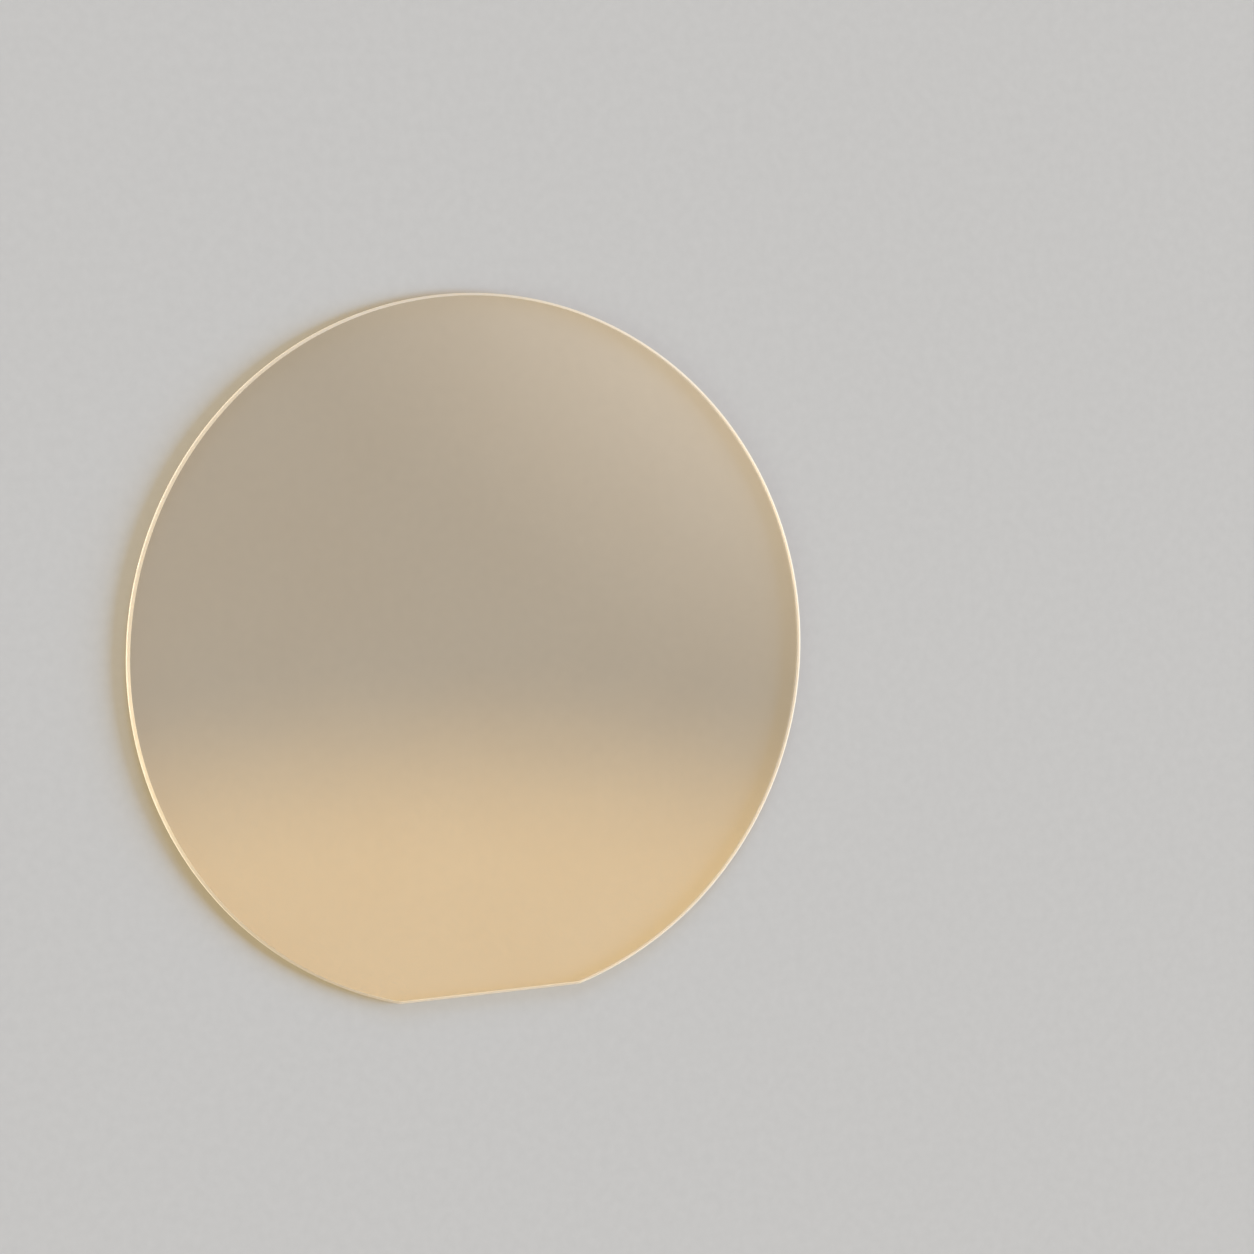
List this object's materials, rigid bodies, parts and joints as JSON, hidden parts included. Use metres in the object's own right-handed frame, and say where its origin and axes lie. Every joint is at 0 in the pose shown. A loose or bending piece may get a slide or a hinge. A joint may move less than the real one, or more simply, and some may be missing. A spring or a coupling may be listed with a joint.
{
  "type": "lithium niobate wafer",
  "caption": "Round transparent crystal wafer with one orientation flat, a bevelled ground edge and polished faces.",
  "frame": {"origin": "centre of the round rim, on the back face that the wafer lies on", "axes": "+Z is the outward normal of the front face; the orientation flat faces -Y; X runs along the flat"},
  "size_m": [0.0762, 0.0748, 0.001],
  "materials": {
    "crystal": "optically polished faces, fine ground edge"
  },
  "bodies": {
    "root": {"wafer": "crystal"}
  },
  "joints": []
}
